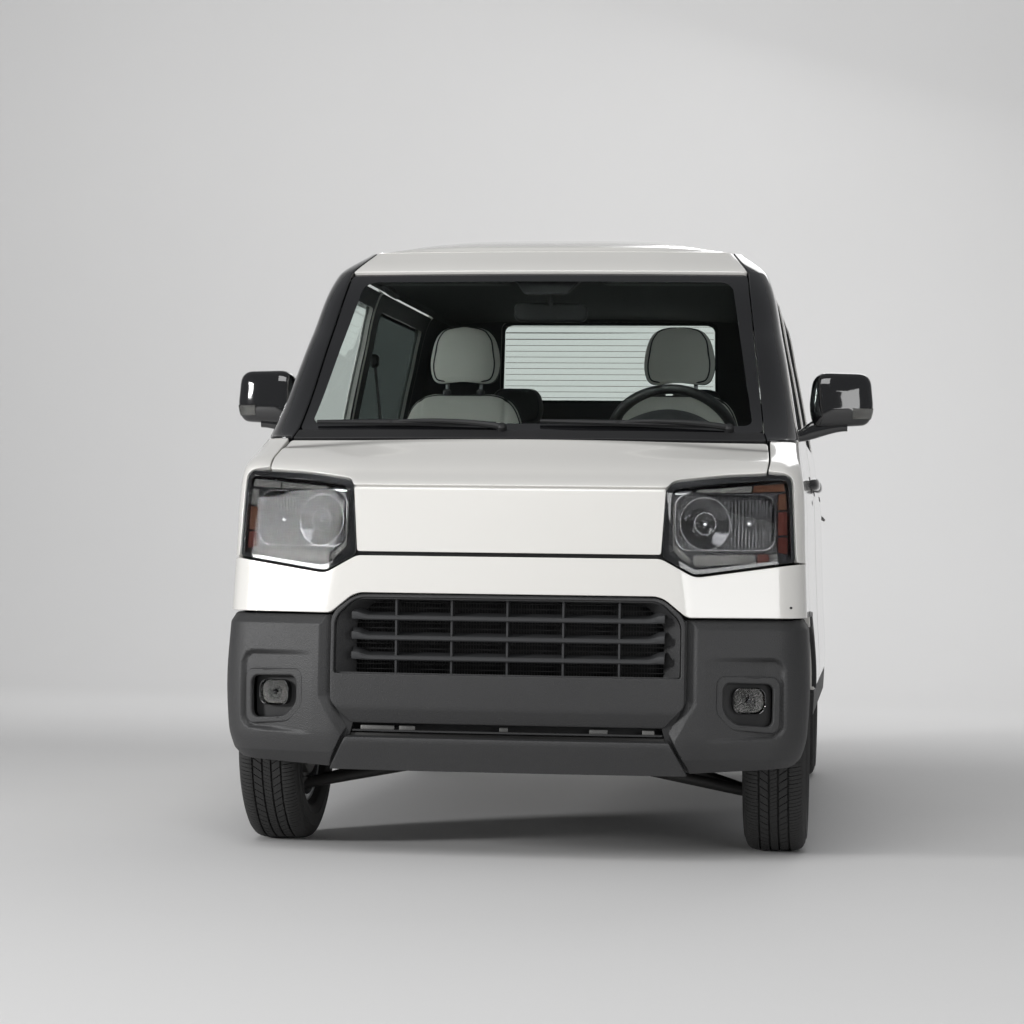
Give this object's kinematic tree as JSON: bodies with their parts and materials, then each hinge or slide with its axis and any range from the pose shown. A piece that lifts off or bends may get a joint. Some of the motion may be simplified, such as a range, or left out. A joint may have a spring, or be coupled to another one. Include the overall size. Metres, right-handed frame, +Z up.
{
  "type": "kei truck with a four-door cab and a short load bed",
  "caption": "Small cab-over truck with a four-door cab, short drop-tail load bed, dark bumper cladding, steered front wheels and opening front doors, bonnet and tailgate.",
  "frame": {"origin": "on the ground under the middle of the truck's length and width", "axes": "+Y to the rear along the truck's length, +X to its left (driver's) side, +Z up; the truck faces -Y"},
  "size_m": [1.771, 3.395, 1.6909],
  "materials": {
    "body_paint": "gloss warm white paint",
    "dark_cladding": "grained dark grey plastic",
    "gloss_black": "gloss black",
    "matte_black": "matte black",
    "clear_glass": "pale green glass",
    "privacy_glass": "dark tinted glass",
    "lamp_clear": "clear lens over a bright reflector",
    "lamp_red": "red lens",
    "chassis_black": "satin black",
    "cast_metal": "bare cast metal",
    "steel_rim": "silver grey paint",
    "tyre_rubber": "tread rubber",
    "seat_fabric": "woven pale grey fabric",
    "dash_plastic": "moulded dark plastic",
    "exhaust_steel": "plain steel"
  },
  "bodies": {
    "truck_body": {"chassis_frame": "chassis_black", "front_suspension": "chassis_black", "rear_axle": "chassis_black", "rear_springs": "chassis_black", "engine_block": "cast_metal", "exhaust": "exhaust_steel", "fuel_tank": "matte_black", "floor_pan": "chassis_black", "seat_boxes": "chassis_black", "cab_shell": "body_paint", "roof_panel": "body_paint", "cowl": "matte_black", "wipers": "matte_black", "fender_left": "body_paint", "fender_right": "body_paint", "nose_panel": "body_paint", "bumper_upper": "body_paint", "bumper_cladding": "dark_cladding", "grille": "gloss_black", "fog_lamps": "lamp_clear", "headlamp_left": "lamp_clear", "headlamp_right": "lamp_clear", "windscreen": "clear_glass", "sliding_door_left": "body_paint", "sliding_door_right": "body_paint", "sliding_door_glass": "privacy_glass", "rear_window": "clear_glass", "front_seats": "seat_fabric", "rear_bench": "seat_fabric", "dashboard": "dash_plastic", "interior_mirror": "matte_black", "cargo_bed": "body_paint", "arch_flares": "dark_cladding", "tail_lamps": "lamp_red", "rear_bumper": "chassis_black"},
    "front_door_left": {"front_door_left": "body_paint", "front_door_glass_left": "clear_glass", "mirror_left": "gloss_black"},
    "front_door_right": {"front_door_right": "body_paint", "front_door_glass_right": "clear_glass", "mirror_right": "gloss_black"},
    "bonnet": {"bonnet": "body_paint"},
    "tailgate": {"tailgate": "body_paint"},
    "steering_wheel": {"steering_wheel": "dash_plastic"},
    "knuckle_left": {"knuckle_left": "cast_metal"},
    "knuckle_right": {"knuckle_right": "cast_metal"},
    "wheel_front_left": {"tyre_front_left": "tyre_rubber", "rim_front_left": "steel_rim"},
    "wheel_front_right": {"tyre_front_right": "tyre_rubber", "rim_front_right": "steel_rim"},
    "wheel_rear_left": {"tyre_rear_left": "tyre_rubber", "rim_rear_left": "steel_rim"},
    "wheel_rear_right": {"tyre_rear_right": "tyre_rubber", "rim_rear_right": "steel_rim"}
  },
  "joints": [
    {"name": "steer_left", "type": "hinge", "parent": "truck_body", "child": "knuckle_left", "pos_m": [0.606, -1.1775, 0.165], "axis": [-0.174, 0, 0.9848], "range_deg": [-35, 35]},
    {"name": "steer_right", "type": "hinge", "parent": "truck_body", "child": "knuckle_right", "pos_m": [-0.606, -1.1775, 0.165], "axis": [0.174, 0, 0.9848], "range_deg": [-35, 35]},
    {"name": "steering_turn", "type": "hinge", "parent": "truck_body", "child": "steering_wheel", "pos_m": [0.335, -0.7425, 1.068], "axis": [0, 0.848, 0.5299], "range_deg": [-420, 420]},
    {"name": "door_left_swing", "type": "hinge", "parent": "truck_body", "child": "front_door_left", "pos_m": [0.73, -1.1975, 0.8], "axis": [0, 0, -1], "range_deg": [0, 62]},
    {"name": "door_right_swing", "type": "hinge", "parent": "truck_body", "child": "front_door_right", "pos_m": [-0.73, -1.1975, 0.8], "axis": [0, 0, 1], "range_deg": [0, 62]},
    {"name": "bonnet_lift", "type": "hinge", "parent": "truck_body", "child": "bonnet", "pos_m": [0, -1.3235, 1.059], "axis": [-1, 0, 0], "range_deg": [0, 50]},
    {"name": "tailgate_drop", "type": "hinge", "parent": "truck_body", "child": "tailgate", "pos_m": [0, 1.6855, 0.598], "axis": [-1, 0, 0], "range_deg": [0, 90]},
    {"name": "wheel_front_left_spin", "type": "hinge", "parent": "knuckle_left", "child": "wheel_front_left", "pos_m": [0.6485, -1.1775, 0.2685], "axis": [1, 0, 0], "continuous": true},
    {"name": "wheel_front_right_spin", "type": "hinge", "parent": "knuckle_right", "child": "wheel_front_right", "pos_m": [-0.6485, -1.1775, 0.2685], "axis": [1, 0, 0], "continuous": true},
    {"name": "wheel_rear_left_spin", "type": "hinge", "parent": "truck_body", "child": "wheel_rear_left", "pos_m": [0.62, 1.2725, 0.2685], "axis": [1, 0, 0], "continuous": true},
    {"name": "wheel_rear_right_spin", "type": "hinge", "parent": "truck_body", "child": "wheel_rear_right", "pos_m": [-0.62, 1.2725, 0.2685], "axis": [1, 0, 0], "continuous": true}
  ],
  "couplings": [
    {"joint": "steer_right", "follows": "steer_left", "ratio": 1},
    {"joint": "steering_turn", "follows": "steer_left", "ratio": 12}
  ]
}
